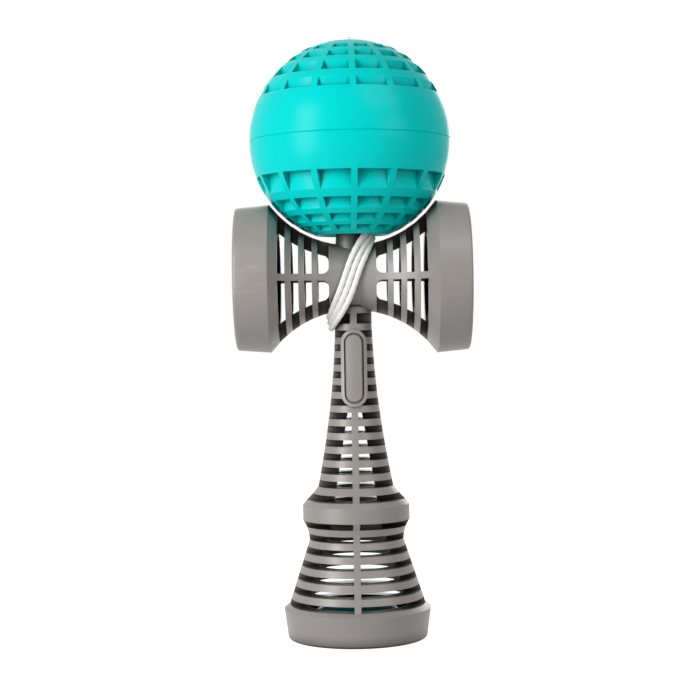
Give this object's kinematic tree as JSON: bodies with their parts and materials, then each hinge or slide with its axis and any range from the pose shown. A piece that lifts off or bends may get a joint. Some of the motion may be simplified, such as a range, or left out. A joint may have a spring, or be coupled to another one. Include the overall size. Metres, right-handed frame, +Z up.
{
  "type": "cup and ball toy",
  "caption": "Cup and ball toy with a slotted cage handle, base cup, cross-cup and spike, and a hollow pocketed ball tied on by a string wound round the hub.",
  "frame": {"origin": "centre of the base cup's rim, on the surface that the toy stands on", "axes": "+Z up along the handle, +X towards the large cup, -Y towards the front with the bare plate"},
  "size_m": [0.0694, 0.0619, 0.1802],
  "materials": {
    "cage_plastic": "satin moulded",
    "dish_plastic": "satin moulded",
    "ball_plastic": "satin moulded",
    "bead_plastic": "plain",
    "string": "braided"
  },
  "bodies": {
    "ken": {"handle": "cage_plastic", "cross_cup": "cage_plastic", "base_cup_insert": "dish_plastic", "large_cup_insert": "dish_plastic", "small_cup_insert": "dish_plastic", "anchor_knot": "string", "cord_winding": "string"},
    "bead": {"string_bead": "bead_plastic", "bead_knot": "string", "cord_run": "string"},
    "ball": {"ball_lower_half": "ball_plastic", "ball_upper_half": "ball_plastic"}
  },
  "joints": [
    {"name": "ball_lift", "type": "slide", "parent": "ken", "child": "bead", "axis": [0, 0, 1], "range_m": [0, 0.05], "deforming": ["cord_run"]},
    {"name": "ball_spin", "type": "hinge", "parent": "bead", "child": "ball", "pos_m": [0, 0, 0.1487], "axis": [0, 0, 1], "continuous": true}
  ]
}
